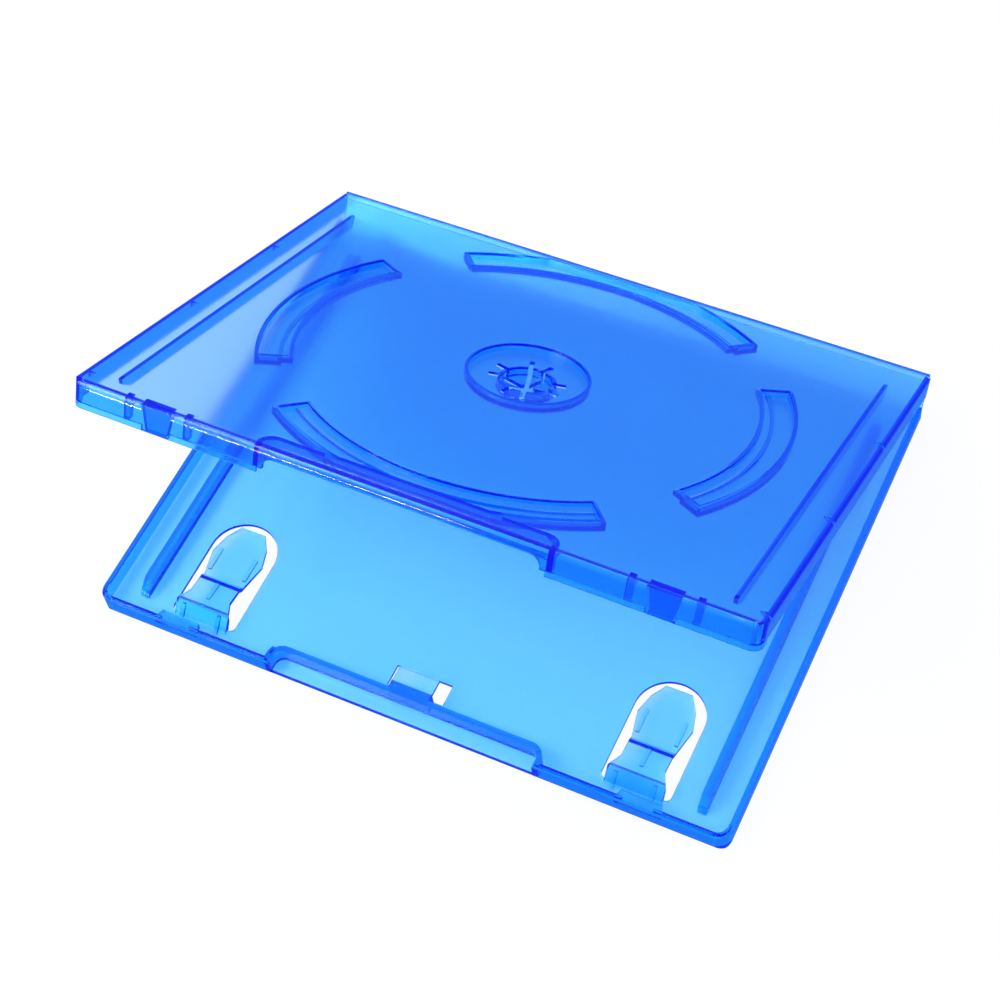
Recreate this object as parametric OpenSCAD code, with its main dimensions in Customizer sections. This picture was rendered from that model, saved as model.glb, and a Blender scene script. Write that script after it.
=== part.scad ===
// Keep case for one 120 mm game disc: a front half with booklet clips, a spine and a disc half,
// all of clear blue plastic, folding about the two long edges of the spine.
// X runs along the opening edge, Y from the opening edge to the spine, Z up from the face it lies on.

/* [Case] */
// Length along the opening edge
case_l = 173; // [166:1:190]
// Depth of each half, from the opening edge to its hinge line
cover_d = 135; // [134:1:150]
// Thickness of the closed case
case_t = 13.4; // [13:0.1:16]
// Radius of the front half's free corners, seen from above
corner_r = 4; // [2:0.5:6]
// Radius of the disc half's free corners
disc_corner_r = 3; // [2:0.5:6]
// Radius where a side wall turns into the outer face
edge_r = 1.2; // [0.6:0.1:2]
// Radius where the front wall turns into the outer face
front_edge_r = 2; // [0.6:0.1:2.2]

/* [Walls] */
// Thickness of the two large panels and of the spine
panel_t = 1; // [0.8:0.1:1.2]
// Thickness of the rim walls
wall_t = 1.4; // [1:0.1:1.8]
// Height of the front half's rim over its outer face
rim_h = 5.8; // [5.4:0.1:6.4]
// Height of the thin lip under the disc half's front wall
lip_h = 1.3; // [0.8:0.1:1.8]
// Thickness of that lip
lip_t = 0.5; // [0.4:0.1:0.8]
// How far the lip runs back round each front corner
lip_return = 5; // [4:0.5:12]
// Height of the tongue on the front half's rim that the lip covers
tongue_h = 1; // [0.5:0.1:1]
// Gap between the two rims when closed
seam_gap = 0.2; // [0.15:0.05:0.25]

/* [Thumb recess] */
// Length of the recess in the middle of the opening edge
recess_l = 72.5; // [50:0.5:80]
// How far its wall stands back from the edge
recess_d = 5; // [4:0.25:6]
// Radius of the corners at its ends
recess_r = 2.6; // [1.5:0.1:3.5]
// Height of the strip that crosses the disc half's recess at the edge
strip_h = 3; // [1.5:0.1:3.4]
// Thickness of that strip
strip_t = 1; // [0.8:0.1:1.3]
// Radius of the upper corners of the opening below it
strip_r = 2.6; // [1:0.1:3]

/* [Hinges] */
// How far the spine leans back from upright, in degrees
spine_open = 23; // [0:1:80]
// How far the disc half has opened from square to the spine, in degrees
cover_open = 4.5; // [0:0.5:80]
// Clearance round the rounded long edges of the spine
hinge_gap = 0.06; // [0.04:0.01:0.1]
// Width of the thinned strip beside each hinge line
hinge_band_w = 3.6; // [2:0.1:5]
// Depth of that thinned strip
hinge_band_t = 0.35; // [0.2:0.05:0.5]

/* [Disc well] */
// Distance of the hub's centre from the opening edge
hub_y = 70; // [68:0.5:72]
// Radius of the disc
disc_r = 60; // [60]
// Width of each hollow ridge round the disc, seen from outside
ridge_w = 7.4; // [6:0.2:8]
// Thickness of the ridge walls
ridge_t = 1; // [0.8:0.1:1.2]
// Width of the ledge that carries the rim of the disc
ledge_w = 1.5; // [1:0.1:2]
// Height of the hub's seat over the outer face
seat_h = 3; // [2.6:0.1:3.4]
// Height of that ledge
ledge_h = 2.4; // [2.2:0.1:2.6]
// Height of the ridges that guard the rim of the disc
guard_h = 3.2; // [2.8:0.1:5]
// Angle that the ridges at the two ends of the case span
side_arc = 59; // [50:1:64]
// Angle that the ridges at the opening edge and at the spine span
edge_arc = 77; // [66:1:80]

/* [Hub] */
// Radius of the hub's recess, seen from outside
hub_recess_r = 15; // [13:0.1:17]
// Depth of that recess
hub_recess_h = 2; // [1.2:0.1:2.2]
// Outer radius of the ring that the disc lies on
hub_seat_r = 12; // [11.5:0.1:12.8]
// Radius at which the hub's fingers are rooted
finger_root_r = 9.8; // [9.2:0.1:11]
// Radius of the hole in the disc
disc_hole_r = 7.5; // [7.5]
// Half the angle of each of the four narrow fingers, in degrees
finger_split = 16; // [12:1:22]
// Width of the slots between fingers
finger_slot = 1.2; // [0.6:0.1:1.4]
// Radius of the hole between the finger tips
finger_eye_r = 2.2; // [1.8:0.1:3]
// How far the beads stand out that hold the disc
finger_bead = 0.3; // [0.2:0.05:0.4]
// Height of the finger tops over the outer face
finger_h = 5.8; // [5.4:0.1:6]

/* [Latches] */
// Distance of each latch from the side of the case
latch_in = 23; // [19:0.5:28]
// Width of a latch block where it meets the panel
boss_top_w = 8.2; // [7:0.2:10]
// Width of a latch block at its free end
boss_foot_w = 5.6; // [5:0.2:7]
// Thickness of a latch block from the outside of the wall
boss_d = 3; // [2.4:0.1:3.4]
// Distance from a latch block's middle to the bar on either side
bar_pitch = 8; // [7:0.2:9]
// Width of those bars
bar_w = 1.6; // [1:0.1:1.8]
// Length of the catch ledge inside the front half
catch_l = 10.4; // [8:0.2:12]
// Height of the catch ledge under the rim
catch_h = 2; // [1.4:0.1:2.6]

/* [Booklet clips] */
// Distance of each clip from the side of the case
clip_in = 26.5; // [24.5:0.5:32]
// Width of the slot round a clip
slot_w = 18.2; // [17.8:0.2:20]
// Distance of the slot's front ends from the opening edge
slot_y0 = 6.6; // [6:0.1:7.5]
// Distance of the slot's round end from the opening edge
slot_y1 = 37.2; // [34:0.2:40]
// Thickness of a clip
clip_t = 1; // [0.8:0.1:1.2]
// Height of the clip's arch over the outer face
clip_h = 5; // [4.4:0.1:5.4]
// Height of the clip's flat pad over the outer face
pad_h = 2.4; // [2.2:0.1:3]
// Height of the fold over the pad
fold_h = 1.2; // [0.6:0.1:1.6]
// Distance of the pad's far end from the opening edge
pad_y1 = 34.6; // [31:0.2:36]

/* [Ribs] */
// Distance of the front half's long ribs from the side of the case
front_rib_in = 9.3; // [8.5:0.1:11]
// Height of the front half's long ribs over the panel
front_rib_h = 4.2; // [2:0.1:4.3]
// Thickness of the front half's long ribs
front_rib_t = 2.4; // [0.8:0.1:2.8]
// Distance of the disc half's long ribs from the side of the case
disc_rib_in = 9; // [7.5:0.1:10]
// Height of the disc half's long ribs over the panel
disc_rib_h = 3.4; // [2:0.1:4]
// Thickness of the disc half's long ribs
disc_rib_t = 1; // [0.8:0.1:1.4]
// Distance of the long ribs from the opening edge
rib_y0 = 6.8; // [5:0.1:10]
// Distance of the front half's long ribs from the hinge line
rib_end = 8; // [6:0.5:20]
// Distance of the disc half's long ribs from the hinge line
disc_rib_end = 12; // [6:0.5:20]

/* [Hook] */
// Half the width of the hook behind the thumb recess
hook_half = 5.5; // [4:0.1:6]
// How far the hook reaches back from the opening edge
hook_y1 = 12.8; // [12:0.1:14]
// Half the width of the hole under the hook
hook_hole_half = 7.7; // [6.5:0.1:9]
// Distance of that hole's far edge from the opening edge
hook_hole_y1 = 14.6; // [14.2:0.1:16]

/* [Hidden] */
$fn = 64;
// One overrun for every cut
cut = 1;
// Radius of the rounded long edges of the spine
bead_r = panel_t / 2;
// Distance between the two hinge lines
hinge_pitch = case_t - panel_t;
// Height of the disc half's full walls
disc_wall_h = case_t - rim_h - lip_h - seam_gap;
// How far the side walls stop short of the hinge line
wall_back = bead_r + 2 * seam_gap + hinge_gap;
// Radius of the corners next to the hinge
back_r = corner_r / 4;
// Room at each end of the spine
spine_inset = corner_r / 8;
// Length of the spine
spine_l = case_l - 2 * spine_inset;
// Radius of the pockets' inner edge; their wall and the ledge lie inside and outside of it
pocket_r0 = disc_r - ridge_t;
pocket_r1 = pocket_r0 + ridge_w;
// Where the full height of a guard ridge starts
guard_r0 = disc_r + ledge_w / 2;
// Limits of the pockets at the opening edge and at the hinge
pocket_y0 = recess_d + wall_t;
pocket_y1 = cover_d - wall_back - 1.2 * ridge_t;
// Angle that a ridge wall takes at the end of a ridge
end_wall_a = asin(ridge_t / pocket_r1);
// Places of the latches, clips and long ribs from the middle of the case
latch_x = case_l / 2 - latch_in;
clip_x = case_l / 2 - clip_in;
front_rib_x = case_l / 2 - front_rib_in;
disc_rib_x = case_l / 2 - disc_rib_in;
// Hub: outside of its wall, thickness of its floor, thickness and reach of the fingers
hub_r = hub_recess_r + 0.8 * ridge_t;
hub_floor_t = panel_t;
finger_fit = 0.1;
finger_r = disc_hole_r - finger_fit;
finger_t = 1.1;
bead_h = 0.8;
// Latch: reach of the catch ledge, and half the width of the step at a block's free end
catch_reach = 1.2 * boss_d;
step_half = 1.3 * boss_foot_w / 2;
// Clip: shares of the slot's half width at the root, the neck, the fold and the pad, and of its length
clip_half = slot_w / 2;
neck_share = 0.63;
foot_share = 0.83;
pad_share = 0.8;
shoulder_share = 0.65;
tip_share = 0.38;
clip_len = pad_y1 - slot_y0;
arch_y = slot_y0 + 0.07 * clip_len;
fold_y = slot_y0 + 0.41 * clip_len;
foot_y = slot_y0 - 1.4 * clip_t;
// Small ribs on the clip
clip_rib_t = 1;
clip_rib_x = 0.56 * clip_half;
// Gussets on the disc half's side walls, as shares of its depth
gusset_shares = [0.045, 0.38, 0.685];
gusset_t = 0.9;
gusset_l = 1.6;
gusset_h = 2.4;
// Slope of the long ribs' front ends
rib_slope_l = 4;
// Angles in the disc well
full_turn = 360;
half_turn = 180;
quarter_turn = 90;

// Flat outline of a half with corners of radius r, hinge line on y = 0 and opening edge at y = -cover_d
module outline(r, inset = 0, back = 0) {
    x1 = case_l / 2 - inset;
    y0 = -cover_d + inset;
    y1 = -back;
    r0 = max(r - inset, cut / 10);
    r1 = max(back_r - inset, cut / 10);
    union() {
        translate([-x1 + r0, y0]) square([2 * (x1 - r0), y1 - y0]);
        translate([-x1, y0 + r0]) square([2 * x1, y1 - y0 - r0 - r1]);
        translate([-x1 + r1, y1 - r1]) square([2 * (x1 - r1), r1]);
        for (s = [-1, 1]) {
            translate([s * (x1 - r0), y0 + r0]) circle(r0);
            translate([s * (x1 - r1), y1 - r1]) circle(r1);
        }
    }
}

// Box section with its two lower edges rounded, from z = 0 up
module round_foot(w, h, r) {
    union() {
        translate([-w / 2 + r, 0]) square([w - 2 * r, h]);
        translate([-w / 2, r]) square([w, h - r]);
        for (s = [-1, 1]) translate([s * (w / 2 - r), r]) circle(r);
    }
}

// The outside of a half: outline, rounded side edges and rounded opening edge, outer face on z = 0
module tray_block(h, corner) {
    long = cover_d + cut;
    intersection() {
        linear_extrude(h) outline(corner);
        translate([0, cut, 0]) rotate([quarter_turn, 0, 0]) linear_extrude(long + cut)
            round_foot(case_l, h, edge_r);
        translate([-case_l, long / 2 - cover_d, 0]) rotate([quarter_turn, 0, quarter_turn])
            linear_extrude(2 * case_l) round_foot(long, h, front_edge_r);
    }
}

// Plan of the thumb recess, grown by g
module recess_plan(g = 0) {
    w = recess_l / 2 + g;
    d = recess_d + g;
    r = recess_r + g;
    translate([0, -cover_d]) union() {
        translate([-w, -cut]) square([2 * w, d - r + cut]);
        translate([-w + r, -cut]) square([2 * (w - r), d + cut]);
        for (s = [-1, 1]) translate([s * (w - r), d - r]) circle(r);
    }
}

// Panel, rim walls and thumb recess, with the strip next to the hinge thinned and its edge shaped
module tray(h, corner) {
    difference() {
        tray_block(h, corner);
        translate([0, 0, panel_t]) linear_extrude(h) difference() {
            outline(corner, wall_t, -cut);
            recess_plan(wall_t);
        }
        translate([0, 0, panel_t]) linear_extrude(h) recess_plan();
        // no wall over the hinge
        translate([-case_l / 2 - cut, -wall_back, panel_t])
            cube([case_l + 2 * cut, wall_back + cut, h]);
        // seat of the spine's rounded edge
        translate([-case_l / 2 - cut, -bead_r - hinge_gap, bead_r])
            cube([case_l + 2 * cut, panel_t + cut, h]);
        translate([-case_l / 2 - cut, 0, bead_r]) rotate([0, quarter_turn, 0])
            cylinder(r = bead_r + hinge_gap, h = case_l + 2 * cut);
        // thinned strip
        translate([-case_l / 2 + wall_t, -hinge_band_w, panel_t - hinge_band_t])
            cube([case_l - 2 * wall_t, hinge_band_w - bead_r - 2 * hinge_gap, hinge_band_t + cut]);
    }
}

// Long rib with a sloping front end: profile in Y and Z, standing on the panel
module long_rib(h, end, rib_t) {
    y0 = -cover_d + rib_y0;
    y1 = -end;
    translate([rib_t / 2, 0, panel_t - cut / 10]) rotate([quarter_turn, 0, -quarter_turn])
        linear_extrude(rib_t) polygon([
            [-y0, 0], [-y0 - rib_t / 2, h / 2], [-y0 - rib_slope_l, h], [-y1 + rib_t, h], [-y1, 0]
        ]);
}

// Clip: section in Y and Z of the arch, the fold and the flat pad
module clip_section() {
    drop = clip_t / 2;
    polygon([
        [foot_y, 0], [foot_y, panel_t], [arch_y - drop, clip_h - drop], [arch_y, clip_h],
        [arch_y + clip_t, clip_h], [arch_y + clip_t + drop, clip_h - drop / 2],
        [fold_y - drop, pad_h + fold_h], [fold_y + drop / 2, pad_h], [pad_y1, pad_h],
        [pad_y1, pad_h - clip_t], [fold_y - drop / 2, pad_h - clip_t],
        [fold_y - 1.5 * clip_t, pad_h + fold_h - clip_t],
        [arch_y + clip_t + drop / 2, clip_h - 1.5 * clip_t], [arch_y + drop, clip_h - clip_t],
        [arch_y + drop / 2, clip_h - 1.5 * clip_t], [slot_y0, 0]
    ]);
}

// Clip: plan of the tongue, wide at its foot, narrow at the neck and cut to five sides at the pad
module clip_plan() {
    foot = foot_share * clip_half;
    neck = neck_share * clip_half;
    pad = pad_share * clip_half;
    shoulder = shoulder_share * clip_half;
    tip = tip_share * clip_half;
    neck_y = slot_y0 + 0.2 * clip_len;
    pad_y = slot_y0 + 0.68 * clip_len;
    shoulder_y = slot_y0 + 0.86 * clip_len;
    half = [
        [foot, foot_y], [foot, slot_y0 + 0.06 * clip_len], [neck, neck_y], [neck, fold_y],
        [pad, pad_y], [shoulder, shoulder_y], [tip, pad_y1]
    ];
    polygon(concat(half, [for (i = [len(half) - 1 : -1 : 0]) [-half[i][0], half[i][1]]]));
}

// The tongue itself, with two leg ribs, one middle rib and two ridges on the pad
module clip() {
    union() {
        intersection() {
            translate([slot_w / 2, 0, 0]) rotate([quarter_turn, 0, quarter_turn])
                mirror([0, 0, 1]) linear_extrude(slot_w) clip_section();
            linear_extrude(clip_h + cut) clip_plan();
        }
        for (s = [-1, 1]) translate([s * clip_rib_x, 0, 0]) clip_leg_rib();
        clip_middle_rib();
        for (s = [-1, 1]) translate([s * clip_rib_x - clip_rib_t / 2, fold_y + 2 * clip_t, pad_h - clip_t / 2])
            cube([clip_rib_t, 0.24 * clip_len, clip_t / 2 + 0.5 * clip_rib_t]);
    }
}

// Rib on the front slope of the arch
module clip_leg_rib() {
    translate([clip_rib_t / 2, 0, 0]) rotate([quarter_turn, 0, quarter_turn]) mirror([0, 0, 1])
        linear_extrude(clip_rib_t) polygon([
            [foot_y - clip_t, panel_t / 2], [foot_y - clip_t, panel_t],
            [arch_y - clip_t, clip_h - clip_t / 2], [arch_y, clip_h - clip_t / 2], [slot_y0 - clip_t, panel_t / 2]
        ]);
}

// Rib down the rear slope of the arch
module clip_middle_rib() {
    translate([clip_rib_t / 2, 0, 0]) rotate([quarter_turn, 0, quarter_turn]) mirror([0, 0, 1])
        linear_extrude(clip_rib_t) polygon([
            [arch_y + 2.5 * clip_t, clip_h - 1.2 * clip_t], [arch_y + 2.5 * clip_t, clip_h],
            [fold_y - clip_t, pad_h + fold_h + 0.7 * clip_t], [fold_y - clip_t, pad_h + fold_h - 0.3 * clip_t]
        ]);
}

// Plan of the slot round a clip
module slot_plan() {
    r = clip_half;
    foot_r = clip_half * (1 - foot_share);
    union() {
        translate([-r, slot_y0 + foot_r]) square([2 * r, slot_y1 - r - slot_y0 - foot_r]);
        translate([0, slot_y1 - r]) circle(r);
        translate([-r + foot_r, slot_y0]) square([2 * (r - foot_r), slot_y1 - r - slot_y0]);
        for (s = [-1, 1]) translate([s * (r - foot_r), slot_y0 + foot_r]) circle(foot_r);
    }
}

// Catch ledge on the inside of the front wall, opposite a latch block
module catch_ledge() {
    w = catch_l / 2;
    bevel = catch_reach - wall_t;
    translate([0, 0, rim_h - catch_h - seam_gap]) linear_extrude(catch_h) polygon([
        [-w - bevel / 2, wall_t / 2], [-w, catch_reach], [w, catch_reach], [w + bevel / 2, wall_t / 2]
    ]);
}

// Tongue that stands on the inner part of the rim along the opening edge, open at the latch blocks
module tongue() {
    t0 = lip_t + seam_gap;
    w = step_half + 2 * seam_gap;
    translate([0, 0, rim_h - cut / 10]) linear_extrude(tongue_h + cut / 10) difference() {
        intersection() {
            difference() {
                outline(corner_r, t0);
                difference() {
                    outline(corner_r, wall_t, -cut);
                    recess_plan(wall_t);
                }
                recess_plan(t0);
            }
            translate([-case_l / 2, -cover_d]) square([case_l, lip_return - 2 * seam_gap]);
        }
        for (s = [-1, 1]) translate([s * latch_x - w, -cover_d]) square([2 * w, boss_d]);
    }
}

// Hook behind the thumb recess
module hook() {
    y0 = recess_d + wall_t / 2;
    step_y = recess_d + 2.5 * wall_t;
    translate([-hook_half, 0, 0]) union() {
        translate([0, y0, panel_t / 2]) cube([2 * hook_half, step_y - y0, rim_h - panel_t / 2]);
        translate([0, y0, rim_h - 1.3 * panel_t])
            cube([2 * hook_half, hook_y1 - y0, panel_t]);
    }
}

module hook_hole() {
    y0 = recess_d + 2.5 * wall_t + seam_gap;
    translate([-hook_hole_half, y0, -cut])
        cube([2 * hook_hole_half, hook_hole_y1 - y0, panel_t + 2 * cut]);
}

// Front half in its own frame: hinge line on y = 0, outer face on z = 0
module front_shell() {
    union() {
        difference() {
            tray(rim_h, corner_r);
            translate([0, -cover_d, -cut]) {
                for (s = [-1, 1]) translate([s * clip_x, 0, 0])
                    linear_extrude(panel_t + 2 * cut) slot_plan();
                translate([0, 0, cut]) hook_hole();
            }
        }
        tongue();
        translate([0, -cover_d, 0]) {
            for (s = [-1, 1]) translate([s * clip_x, 0, 0]) clip();
            for (s = [-1, 1]) translate([s * latch_x, 0, 0]) catch_ledge();
            hook();
        }
        for (s = [-1, 1]) translate([s * front_rib_x, 0, 0]) long_rib(front_rib_h, rib_end, front_rib_t);
    }
}

// Ring sector about the hub's centre
module sector(r0, r1, a, span, z0, z1) {
    translate([0, 0, z0]) rotate([0, 0, a - span / 2]) rotate_extrude(angle = span)
        translate([r0, 0]) square([r1 - r0, z1 - z0]);
}

// Solid of one ridge: ledge and guard
module ridge(a, span) {
    wide = span + 2 * end_wall_a;
    union() {
        sector(pocket_r0 - ridge_t, guard_r0 + ridge_t, a, wide, panel_t / 2, ledge_h);
        sector(guard_r0, pocket_r1 + ridge_t, a, wide, panel_t / 2, guard_h);
    }
}

// Pocket in one ridge, open to the outside
module ridge_pocket(a, span) {
    union() {
        sector(pocket_r0, guard_r0 + 2 * ridge_t, a, span, -cut, ledge_h - ridge_t);
        sector(guard_r0 + ridge_t, pocket_r1, a, span, -cut, guard_h - ridge_t);
    }
}

// The four ridges, or their pockets, kept between two lines
module ridges(y0, y1, pockets) {
    intersection() {
        translate([0, hub_y - cover_d, 0]) for (i = [0 : 3]) {
            span = (i % 2 == 0) ? side_arc : edge_arc;
            if (pockets) ridge_pocket(i * quarter_turn, span);
            else ridge(i * quarter_turn, span);
        }
        translate([-case_l / 2, -cover_d + y0, -2 * cut]) cube([case_l, y1 - y0, guard_h + 3 * cut]);
    }
}

// Hub: recessed floor, ring under the disc, fingers rooted in the floor, and their beads
module hub_solid() {
    top = finger_h - finger_t;
    rotate_extrude() union() {
        translate([0, panel_t / 2]) square([hub_r, hub_recess_h + hub_floor_t - panel_t / 2]);
        translate([0, panel_t / 2]) square([hub_seat_r, seat_h - panel_t / 2]);
        translate([0, seat_h - panel_t / 2]) square([finger_r, finger_h - seat_h + panel_t / 2 - bead_h / 2]);
        polygon([
            [0, top], [finger_r, top - bead_h / 2], [finger_r + finger_bead, top + bead_h / 4],
            [finger_r + finger_bead, top + bead_h / 2], [finger_r - bead_h / 2, finger_h], [0, finger_h]
        ]);
    }
}

module hub_cuts() {
    rotate_extrude() union() {
        translate([0, -cut]) square([hub_recess_r, hub_recess_h + cut]);
        translate([0, 0]) square([finger_r - finger_t, finger_h - finger_t]);
        square([finger_eye_r, finger_h + cut]);
    }
    for (a = [0 : quarter_turn : full_turn - quarter_turn]) for (s = [-1, 1])
        rotate([0, 0, a + s * finger_split]) translate([0, -finger_slot / 2, hub_recess_h / 2])
            cube([finger_root_r, finger_slot, finger_h]);
}

// Latch block on the inside of the disc half's front wall, with a bar on either side
module latch_block() {
    h = disc_wall_h + lip_h;
    union() {
        intersection() {
            translate([0, boss_d, 0]) rotate([quarter_turn, 0, 0]) linear_extrude(boss_d) polygon([
                [-boss_top_w / 2, panel_t / 2], [-boss_foot_w / 2, h], [boss_foot_w / 2, h],
                [boss_top_w / 2, panel_t / 2]
            ]);
            translate([-boss_top_w, 0, 0]) cube([2 * boss_top_w, boss_d, h]);
        }
        translate([-step_half, 0, disc_wall_h - wall_t]) cube([2 * step_half, wall_t, lip_h + wall_t]);
        for (s = [-1, 1]) translate([s * bar_pitch - bar_w / 2, wall_t / 2, panel_t / 2])
            cube([bar_w, boss_d - wall_t / 2, disc_wall_h - panel_t / 2]);
    }
}

// Gusset between the disc half's side wall and its panel
module gusset() {
    rotate([quarter_turn, 0, 0]) linear_extrude(gusset_t) polygon([
        [-wall_t / 2, panel_t / 2], [-wall_t / 2, gusset_h], [0, gusset_h],
        [gusset_l, panel_t], [gusset_l, panel_t / 2]
    ]);
}

// Thin lip under the disc half's front wall and round its corners
module front_lip() {
    h = disc_wall_h + lip_h;
    intersection() {
        difference() {
            tray_block(h, disc_corner_r);
            translate([0, 0, panel_t]) linear_extrude(h) outline(disc_corner_r, lip_t, -cut);
            translate([0, 0, panel_t]) linear_extrude(h) recess_plan();
        }
        translate([-case_l / 2, -cover_d, disc_wall_h - cut / 10]) cube([case_l, lip_return, h]);
    }
}

// Front of the thumb recess: a strip along its top edge over an opening with rounded upper corners
module recess_strip() {
    w = recess_l / 2 + wall_t / 2;
    open_w = recess_l / 2 - wall_t;
    intersection() {
        tray_block(disc_wall_h, disc_corner_r);
        translate([0, -cover_d + strip_t, 0]) rotate([quarter_turn, 0, 0]) linear_extrude(strip_t + cut)
            difference() {
                translate([-w, 0]) square([2 * w, disc_wall_h]);
                translate([-open_w, strip_h + strip_r]) square([2 * open_w, disc_wall_h]);
                translate([-open_w + strip_r, strip_h]) square([2 * (open_w - strip_r), disc_wall_h]);
                for (s = [-1, 1]) translate([s * (open_w - strip_r), strip_h + strip_r]) circle(strip_r);
            }
    }
}

// Disc half in its own frame: hinge line on y = 0, outer face on z = 0
module disc_shell() {
    difference() {
        union() {
            tray(disc_wall_h, disc_corner_r);
            front_lip();
            recess_strip();
            ridges(recess_d + wall_t / 2, cover_d - wall_back, false);
            translate([0, hub_y - cover_d, 0]) hub_solid();
            translate([0, -cover_d, 0]) for (s = [-1, 1]) translate([s * latch_x, 0, 0]) latch_block();
            for (s = [-1, 1]) {
                translate([s * disc_rib_x, 0, 0]) long_rib(disc_rib_h, disc_rib_end, disc_rib_t);
                for (share = gusset_shares) translate([-s * (case_l / 2 - wall_t), share * cover_d - cover_d, 0])
                    mirror([(s < 0) ? 1 : 0, 0, 0]) gusset();
            }
        }
        ridges(pocket_y0, pocket_y1, true);
        translate([0, hub_y - cover_d, 0]) hub_cuts();
    }
}

// Front half, lying on its outer face
module front_half() {
    color("deepskyblue") translate([0, cover_d / 2, 0]) front_shell();
}

// Spine: a flat strip with rounded long edges, which turn in the edges of the two halves
module spine() {
    color("dodgerblue") translate([0, cover_d / 2, bead_r]) rotate([-spine_open, 0, 0]) union() {
        translate([-spine_l / 2, -bead_r, 0]) cube([spine_l, panel_t, hinge_pitch]);
        for (z = [0, hinge_pitch]) translate([-spine_l / 2, 0, z]) rotate([0, quarter_turn, 0])
            cylinder(r = bead_r, h = spine_l);
    }
}

// Disc half, hinged on the top edge of the spine
module disc_half() {
    color("royalblue") translate([0, cover_d / 2, bead_r]) rotate([-spine_open, 0, 0])
        translate([0, 0, hinge_pitch]) rotate([-cover_open, 0, 0]) translate([0, 0, bead_r])
            rotate([0, half_turn, 0]) disc_shell();
}

front_half();
spine();
disc_half();
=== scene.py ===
"""Clear blue case for one game disc, lying on its front half with the disc half swung up."""
import math

import bmesh
import bpy
from mathutils import Matrix, Vector


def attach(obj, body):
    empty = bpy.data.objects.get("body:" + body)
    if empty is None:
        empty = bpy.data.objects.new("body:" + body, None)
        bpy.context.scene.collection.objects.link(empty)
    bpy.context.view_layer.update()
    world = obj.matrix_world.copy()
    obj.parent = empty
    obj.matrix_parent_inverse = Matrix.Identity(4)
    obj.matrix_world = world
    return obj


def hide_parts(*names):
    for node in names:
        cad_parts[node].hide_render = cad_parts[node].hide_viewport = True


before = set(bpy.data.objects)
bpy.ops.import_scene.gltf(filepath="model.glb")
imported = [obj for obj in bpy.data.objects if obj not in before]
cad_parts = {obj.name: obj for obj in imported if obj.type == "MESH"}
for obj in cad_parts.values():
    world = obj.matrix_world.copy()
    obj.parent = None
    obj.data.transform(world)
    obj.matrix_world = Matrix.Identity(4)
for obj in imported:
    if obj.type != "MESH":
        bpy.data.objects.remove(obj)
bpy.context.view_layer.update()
scene = bpy.context.scene
MM = 0.001

# Camera, fitted to the edges, the hub and the clip slots of both halves; angles in degrees
AZIMUTH, ELEVATION, ROLL = 32.6104, 56.507, -8.5867
AIM = Vector((-5.4527, 1.8039, 0.0)) * MM
DISTANCE = 565.5837 * MM
FOCAL_PIXELS, PHOTO_PIXELS = 2163.3255, 1000.0
SENSOR_WIDTH = 36.0
NEAR, FAR = 0.01, 20.0

# Room: colours, and the strengths low near the horizon and high overhead
WHITE = (1.0, 1.0, 1.0, 1.0)
HORIZON, OVERHEAD = 0.12, 0.65
FALLING_LOW, FALLING_HIGH = 0.3, 1.1
MIRRORED_LOW, LOW_COLOR = 0.85, (0.15, 0.38, 1.0, 1.0)
MIRRORED_HIGH, HIGH_COLOR = 0.45, (0.75, 0.85, 1.0, 1.0)

# counts as depth 0 below this, before the light has met the paper
FIRST_BOUNCE = 0.5

# Paper under the case
PAPER_HALF, PAPER_TOP = 0.45, -0.4 * MM
PAPER_COLOR = (0.95, 0.95, 0.95, 1.0)
GLOW_SEEN, GLOW_THROUGH = 0.92, 0.1
MIRRORED_PAPER, PAPER_STRENGTH = (0.10, 0.35, 1.0, 1.0), 0.8

# Plastic: roughness, waviness, and a painted deep blue glow that stands in for the light caught in
# it
IOR = 1.49
PANEL_GLOSS, WALL_GLOSS, CLOUD = 0.11, 0.05, 0.04
WAVE_SIZE, WAVE_DETAIL = 45.0, 2.0
GRAIN_SIZE, GRAIN_DETAIL, GRAIN_SHARE = 1400.0, 1.0, 0.06
BUMP_STRENGTH, BUMP_DEPTH = 0.10, 0.5 * MM
SHADOW_PASS = (0.96, 0.96, 0.96, 1.0)
# painted glow: glossy depth after which the plastic shows as a deep blue emission
PAINTED_GLOW_AFTER, PAINTED_GLOW_COLOR, PAINTED_GLOW_STRENGTH = 2.5, (0.02, 0.0, 1.0, 1.0), 0.85
# the wall tints are painted shade: faces standing across a panel get a deeper blue at the skin
DYE, DYE_TINT, WALL_PAINTED_SHADE = 860.0, (0.0, 0.80, 1.0, 1.0), (0.10, 0.52, 1.0, 1.0)
# painted shade: the disc half's copy of the plastic is dyed deeper, for the shade under it
COVER_SHADED_DYE, COVER_SHADED_DYE_TINT, COVER_WALL_PAINTED_SHADE = 960.0, (0.0, 0.60, 1.0, 1.0), (0.16, 0.76, 1.0, 1.0)

# Pieces: how far the spine leans back and the disc half is swung up, in degrees
LEAN, SWING = 23.0, 27.5
# a face belongs to its panel where its normal and the panel's have a cosine above this
ALONG_PANEL = 0.6
# doubles closer than this are merged; steeper edges are broken, and shaded sharp (degrees)
MERGE = 2e-6
EDGE_ROUND, EDGE_STEPS = 0.07 * MM, 2
ROUND_ANGLE, CREASE_ANGLE = 35, 26
FACE_WEIGHT = 50


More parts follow.
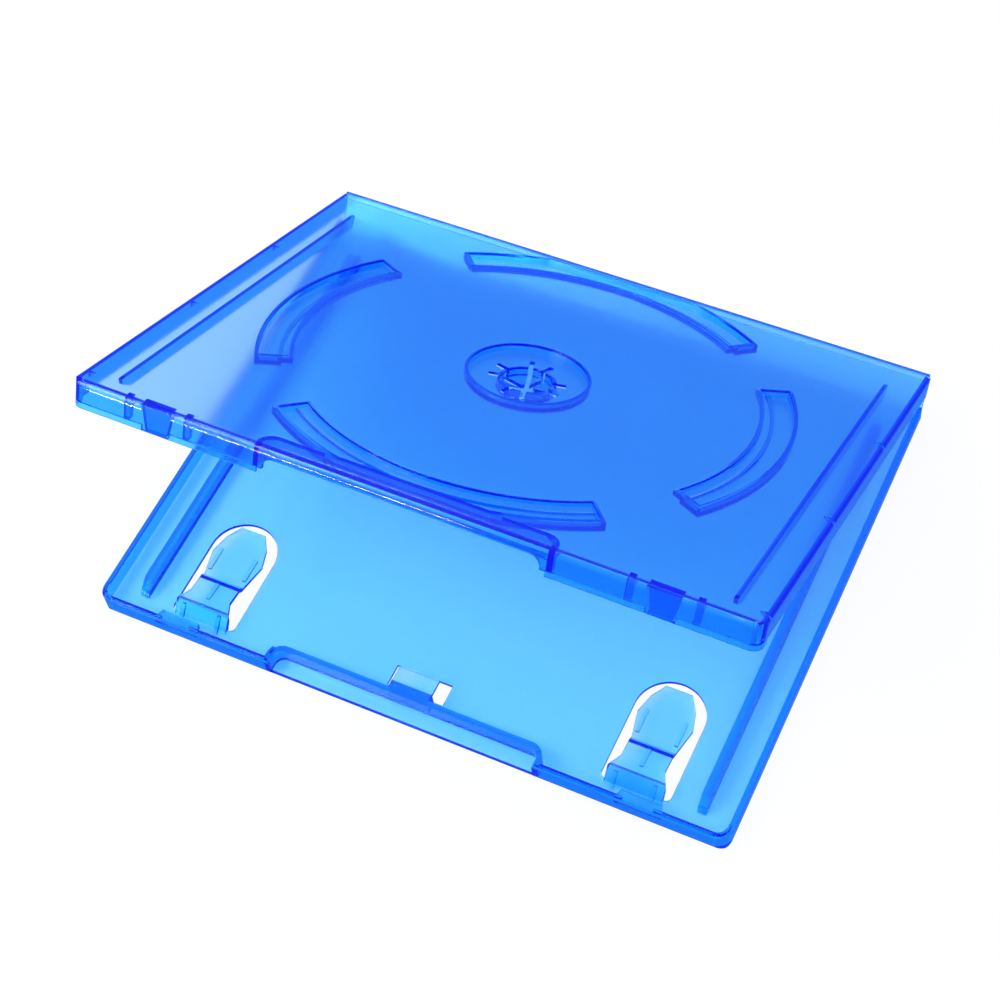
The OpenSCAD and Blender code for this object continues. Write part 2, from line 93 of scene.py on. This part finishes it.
# Camera
def photo_camera():
    azimuth, elevation, roll = (math.radians(a) for a in (AZIMUTH, ELEVATION, ROLL))
    away = Vector((math.sin(azimuth) * math.cos(elevation),
                   -math.cos(azimuth) * math.cos(elevation), math.sin(elevation)))
    forward = -away
    right = forward.cross(Vector((0, 0, 1))).normalized()
    up = right.cross(forward)
    level_right = math.cos(roll) * right + math.sin(roll) * up
    level_up = -math.sin(roll) * right + math.cos(roll) * up
    data = bpy.data.cameras.new("camera")
    data.sensor_width = SENSOR_WIDTH
    data.lens = FOCAL_PIXELS * SENSOR_WIDTH / PHOTO_PIXELS
    data.clip_start = NEAR
    data.clip_end = FAR
    camera = bpy.data.objects.new("camera", data)
    turn = Matrix((level_right, level_up, away)).transposed()
    camera.matrix_world = Matrix.Translation(AIM + away * DISTANCE) @ turn.to_4x4()
    scene.collection.objects.link(camera)
    scene.camera = camera


# Shader nodes
def maths(tree, operation, *values):
    """One Math node; its inputs are plain numbers or sockets."""
    node = tree.nodes.new("ShaderNodeMath")
    node.operation = operation
    for socket, value in zip(node.inputs, values):
        if isinstance(value, (int, float)):
            socket.default_value = value
        else:
            tree.links.new(value, socket)
    return node.outputs[0]


def light(tree, kind, strength, color=WHITE):
    """Plain light of one colour: a Background or an Emission node."""
    node = tree.nodes.new("ShaderNode" + kind)
    node.inputs["Color"].default_value = color
    node.inputs["Strength"].default_value = strength
    return node.outputs[0]


def blended(tree, share, first, second):
    """The second shader where the share is 1, the first where it is 0."""
    mix = tree.nodes.new("ShaderNodeMixShader")
    tree.links.new(share, mix.inputs["Fac"])
    tree.links.new(first, mix.inputs[1])
    tree.links.new(second, mix.inputs[2])
    return mix.outputs[0]


def reflected(tree, path):
    """1 for rays that come off a glossy face, 0 for those that pass through it."""
    outside = maths(tree, "SUBTRACT", 1.0, path.outputs["Is Transmission Ray"])
    return maths(tree, "MULTIPLY", path.outputs["Is Glossy Ray"], outside)


# Light and paper
def overhead(tree):
    """0 near the horizon, where the room is dim, and 1 high up, where the soft light hangs."""
    place = tree.nodes.new("ShaderNodeTexCoord")
    split = tree.nodes.new("ShaderNodeSeparateXYZ")
    tree.links.new(place.outputs["Generated"], split.inputs[0])
    rise = tree.nodes.new("ShaderNodeMapRange")
    rise.interpolation_type = "SMOOTHSTEP"
    tree.links.new(split.outputs["Z"], rise.inputs["Value"])
    rise.inputs["From Min"].default_value = HORIZON
    rise.inputs["From Max"].default_value = OVERHEAD
    return rise.outputs[0]


def add_world():
    """White where the camera sees it, also through the case; a soft room for all other rays."""
    world = bpy.data.worlds.new("studio")
    scene.world = world
    world.use_nodes = True
    tree = world.node_tree
    tree.nodes.clear()
    out = tree.nodes.new("ShaderNodeOutputWorld")
    path = tree.nodes.new("ShaderNodeLightPath")
    before_paper = maths(tree, "LESS_THAN", path.outputs["Diffuse Depth"], FIRST_BOUNCE)
    through = maths(tree, "MULTIPLY", path.outputs["Is Transmission Ray"], before_paper)
    seen = maths(tree, "MAXIMUM", path.outputs["Is Camera Ray"], through)
    height = overhead(tree)
    mirrored = blended(tree, height, light(tree, "Background", MIRRORED_LOW, LOW_COLOR),
                       light(tree, "Background", MIRRORED_HIGH, HIGH_COLOR))
    falling = blended(tree, height, light(tree, "Background", FALLING_LOW),
                      light(tree, "Background", FALLING_HIGH))
    room = blended(tree, reflected(tree, path), falling, mirrored)
    shown = blended(tree, seen, room, light(tree, "Background", 1.0))
    tree.links.new(shown, out.inputs["Surface"])


def add_paper():
    """White paper, lit by the room; camera rays mostly see it as plain white."""
    mesh = bpy.data.meshes.new("floor")
    corners = [(x * PAPER_HALF, y * PAPER_HALF, PAPER_TOP)
               for x, y in ((-1, -1), (1, -1), (1, 1), (-1, 1))]
    mesh.from_pydata(corners, [], [(0, 1, 2, 3)])
    floor = bpy.data.objects.new("floor", mesh)
    scene.collection.objects.link(floor)
    paper = bpy.data.materials.new("white_paper")
    paper.use_nodes = True
    tree = paper.node_tree
    tree.nodes.clear()
    out = tree.nodes.new("ShaderNodeOutputMaterial")
    sheet = tree.nodes.new("ShaderNodeBsdfDiffuse")
    sheet.inputs["Color"].default_value = PAPER_COLOR
    path = tree.nodes.new("ShaderNodeLightPath")
    seen = maths(tree, "MULTIPLY", path.outputs["Is Camera Ray"], GLOW_SEEN)
    through = maths(tree, "MULTIPLY", path.outputs["Is Transmission Ray"], GLOW_THROUGH)
    share = maths(tree, "MAXIMUM", seen, through)
    plain = blended(tree, share, sheet.outputs[0], light(tree, "Emission", 1.0))
    mirrored = light(tree, "Emission", PAPER_STRENGTH, MIRRORED_PAPER)
    shown = blended(tree, reflected(tree, path), plain, mirrored)
    tree.links.new(shown, out.inputs["Surface"])
    mesh.materials.append(paper)


def add_lamp(name, place, aim, size, power):
    data = bpy.data.lights.new(name, "AREA")
    data.shape = "RECTANGLE"
    data.size, data.size_y = size
    data.energy = power
    lamp = bpy.data.objects.new(name, data)
    lamp.location = place
    lamp.rotation_euler = (Vector(aim) - Vector(place)).to_track_quat("-Z", "Y").to_euler()
    scene.collection.objects.link(lamp)
    return lamp


# Plastic
def moulded_skin():
    """Node group: slight waviness and cloudiness that a moulded panel keeps from its tool."""
    group = bpy.data.node_groups.new("moulded_skin", "ShaderNodeTree")
    face = group.interface
    for name, value in (("Gloss", PANEL_GLOSS), ("Cloud", CLOUD),
                        ("Wave Size", WAVE_SIZE), ("Grain Size", GRAIN_SIZE)):
        socket = face.new_socket(name=name, in_out="INPUT", socket_type="NodeSocketFloat")
        socket.default_value = value
    face.new_socket(name="Roughness", in_out="OUTPUT", socket_type="NodeSocketFloat")
    face.new_socket(name="Height", in_out="OUTPUT", socket_type="NodeSocketFloat")
    start = group.nodes.new("NodeGroupInput")
    end = group.nodes.new("NodeGroupOutput")
    place = group.nodes.new("ShaderNodeTexCoord")
    wave = group.nodes.new("ShaderNodeTexNoise")
    wave.inputs["Detail"].default_value = WAVE_DETAIL
    grain = group.nodes.new("ShaderNodeTexNoise")
    grain.inputs["Detail"].default_value = GRAIN_DETAIL
    for node, size in ((wave, "Wave Size"), (grain, "Grain Size")):
        group.links.new(place.outputs["Object"], node.inputs["Vector"])
        group.links.new(start.outputs[size], node.inputs["Scale"])
    roughness = maths(group, "MULTIPLY_ADD", wave.outputs["Fac"],
                      start.outputs["Cloud"], start.outputs["Gloss"])
    height = maths(group, "MULTIPLY_ADD", grain.outputs["Fac"], GRAIN_SHARE, wave.outputs["Fac"])
    group.links.new(roughness, end.inputs["Roughness"])
    group.links.new(height, end.inputs["Height"])
    return group


def clear_plastic(name, skin, density, dye_tint, wall_painted_shade):
    """Blue polypropylene, dyed through its depth and clear at the skin, but for a painted shade on
    its walls.
    """
    plastic = bpy.data.materials.new(name)
    plastic.use_nodes = True
    tree = plastic.node_tree
    tree.nodes.clear()
    out = tree.nodes.new("ShaderNodeOutputMaterial")
    body = tree.nodes.new("ShaderNodeBsdfPrincipled")
    body.inputs["IOR"].default_value = IOR
    body.inputs["Transmission Weight"].default_value = 1.0
    standing = tree.nodes.new("ShaderNodeAttribute")
    standing.attribute_name = "wall"
    # painted shade: the walls' skin is tinted a deeper blue
    wall_shade = tree.nodes.new("ShaderNodeMix")
    wall_shade.data_type = "RGBA"
    wall_shade.inputs["A"].default_value = WHITE
    wall_shade.inputs["B"].default_value = wall_painted_shade
    tree.links.new(standing.outputs["Fac"], wall_shade.inputs["Factor"])
    tree.links.new(wall_shade.outputs["Result"], body.inputs["Base Color"])
    surface = tree.nodes.new("ShaderNodeGroup")
    surface.node_tree = skin
    shine = maths(tree, "MULTIPLY_ADD", standing.outputs["Fac"],
                  WALL_GLOSS - PANEL_GLOSS, PANEL_GLOSS)
    tree.links.new(shine, surface.inputs["Gloss"])
    tree.links.new(surface.outputs["Roughness"], body.inputs["Roughness"])
    bump = tree.nodes.new("ShaderNodeBump")
    bump.inputs["Strength"].default_value = BUMP_STRENGTH
    bump.inputs["Distance"].default_value = BUMP_DEPTH
    tree.links.new(surface.outputs["Height"], bump.inputs["Height"])
    tree.links.new(bump.outputs["Normal"], body.inputs["Normal"])
    path = tree.nodes.new("ShaderNodeLightPath")
    # painted glow: rays past a few glossy bounces see a deep blue emission, which stands in for the
    # light caught between the two faces of a panel
    deep_glossy = maths(tree, "GREATER_THAN", path.outputs["Glossy Depth"], PAINTED_GLOW_AFTER)
    painted_glow = light(tree, "Emission", PAINTED_GLOW_STRENGTH, PAINTED_GLOW_COLOR)
    solid = blended(tree, deep_glossy, body.outputs[0], painted_glow)
    # shadow rays pass straight on, so that the paper under the case stays bright
    passing = tree.nodes.new("ShaderNodeBsdfTransparent")
    passing.inputs["Color"].default_value = SHADOW_PASS
    shown = blended(tree, path.outputs["Is Shadow Ray"], solid, passing.outputs[0])
    tree.links.new(shown, out.inputs["Surface"])
    dye = tree.nodes.new("ShaderNodeVolumeAbsorption")
    dye.inputs["Color"].default_value = dye_tint
    dye.inputs["Density"].default_value = density
    tree.links.new(dye.outputs[0], out.inputs["Volume"])
    return plastic


def mark_walls(mesh, out_face):
    """Face attribute: 1 on faces that stand across the panel, 0 on those along it; it gives the
    walls their lower roughness and their painted shade.
    """
    wall = mesh.attributes.new("wall", "FLOAT", "FACE")
    wall.data.foreach_set("value", [0.0 if abs(face.normal.dot(out_face)) > ALONG_PANEL else 1.0
                                    for face in mesh.polygons])


# Pieces
def crease_nodes():
    """Geometry nodes: sharply turned edges stay sharp, so flat and round faces keep apart."""
    group = bpy.data.node_groups.new("crease_by_angle", "GeometryNodeTree")
    for way in ("INPUT", "OUTPUT"):
        group.interface.new_socket(name="Geometry", in_out=way, socket_type="NodeSocketGeometry")
    nodes, links = group.nodes, group.links
    start = nodes.new("NodeGroupInput")
    end = nodes.new("NodeGroupOutput")
    turn = nodes.new("GeometryNodeInputMeshEdgeAngle")
    steep = nodes.new("FunctionNodeCompare")
    steep.data_type = "FLOAT"
    steep.operation = "GREATER_THAN"
    steep.inputs[1].default_value = math.radians(CREASE_ANGLE)
    shade = nodes.new("GeometryNodeSetShadeSmooth")
    shade.domain = "EDGE"
    shade.inputs["Shade Smooth"].default_value = False
    links.new(turn.outputs["Unsigned Angle"], steep.inputs[0])
    links.new(steep.outputs["Result"], shade.inputs["Selection"])
    links.new(start.outputs[0], shade.inputs["Geometry"])
    links.new(shade.outputs[0], end.inputs[0])
    return group


def moulded_copy(node, name, material, crease, out_face):
    """A copy of a CAD node's mesh with its doubles merged and its edges broken by a small round."""
    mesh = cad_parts[node].data.copy()
    mesh.name = name
    work = bmesh.new()
    work.from_mesh(mesh)
    bmesh.ops.remove_doubles(work, verts=work.verts, dist=MERGE)
    bmesh.ops.dissolve_degenerate(work, edges=work.edges, dist=MERGE)
    work.to_mesh(mesh)
    work.free()
    mark_walls(mesh, out_face)
    mesh.materials.clear()
    mesh.materials.append(material)
    for polygon in mesh.polygons:
        polygon.use_smooth = True
    piece = bpy.data.objects.new(name, mesh)
    scene.collection.objects.link(piece)
    bevel = piece.modifiers.new("edge_round", "BEVEL")
    bevel.width = EDGE_ROUND
    bevel.segments = EDGE_STEPS
    bevel.limit_method = "ANGLE"
    bevel.angle_limit = math.radians(ROUND_ANGLE)
    bevel.use_clamp_overlap = False
    bevel.loop_slide = False
    creases = piece.modifiers.new("creases", "NODES")
    creases.node_group = crease
    even = piece.modifiers.new("flat_faces", "WEIGHTED_NORMAL")
    even.mode = "FACE_AREA"
    even.weight = FACE_WEIGHT
    even.keep_sharp = True
    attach(piece, node)
    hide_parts(node)


photo_camera()
add_world()
add_paper()
add_lamp("key", place=(-0.6, -0.5, 0.9), aim=(0, 0, 0.02), size=(0.5, 0.5), power=5.0)
# the narrow lamp only draws the white line along the disc half's front edge
strip = add_lamp("front_strip", place=(-0.46, -1.0, 0.10), aim=(0, 0, 0.06),
                 size=(0.32, 0.07), power=6.0)
strip.visible_diffuse = False
strip.visible_transmission = False

skin = moulded_skin()
crease = crease_nodes()
# painted shade: the disc half gets a copy of the plastic dyed deeper than the rest, which darkens
# it as the shade under the raised half does
blue = clear_plastic("blue_plastic", skin, DYE, DYE_TINT, WALL_PAINTED_SHADE)
shaded_blue = clear_plastic("blue_plastic_shaded_cover", skin, COVER_SHADED_DYE, COVER_SHADED_DYE_TINT, COVER_WALL_PAINTED_SHADE)
lean, swing = math.radians(LEAN), math.radians(SWING)
moulded_copy("front_half", "front_half_moulding", blue, crease, Vector((0, 0, 1)))
moulded_copy("spine", "spine_strip", blue, crease, Vector((0, math.cos(lean), -math.sin(lean))))
moulded_copy("disc_half", "disc_half_moulding", shaded_blue, crease,
             Vector((0, math.sin(swing), math.cos(swing))))

scene.cycles.transparent_max_bounces = 24
scene.cycles.use_light_tree = False
scene.cycles.max_bounces = 20
scene.cycles.transmission_bounces = 18
scene.cycles.glossy_bounces = 6
scene.cycles.diffuse_bounces = 2
scene.view_settings.view_transform = "Standard"
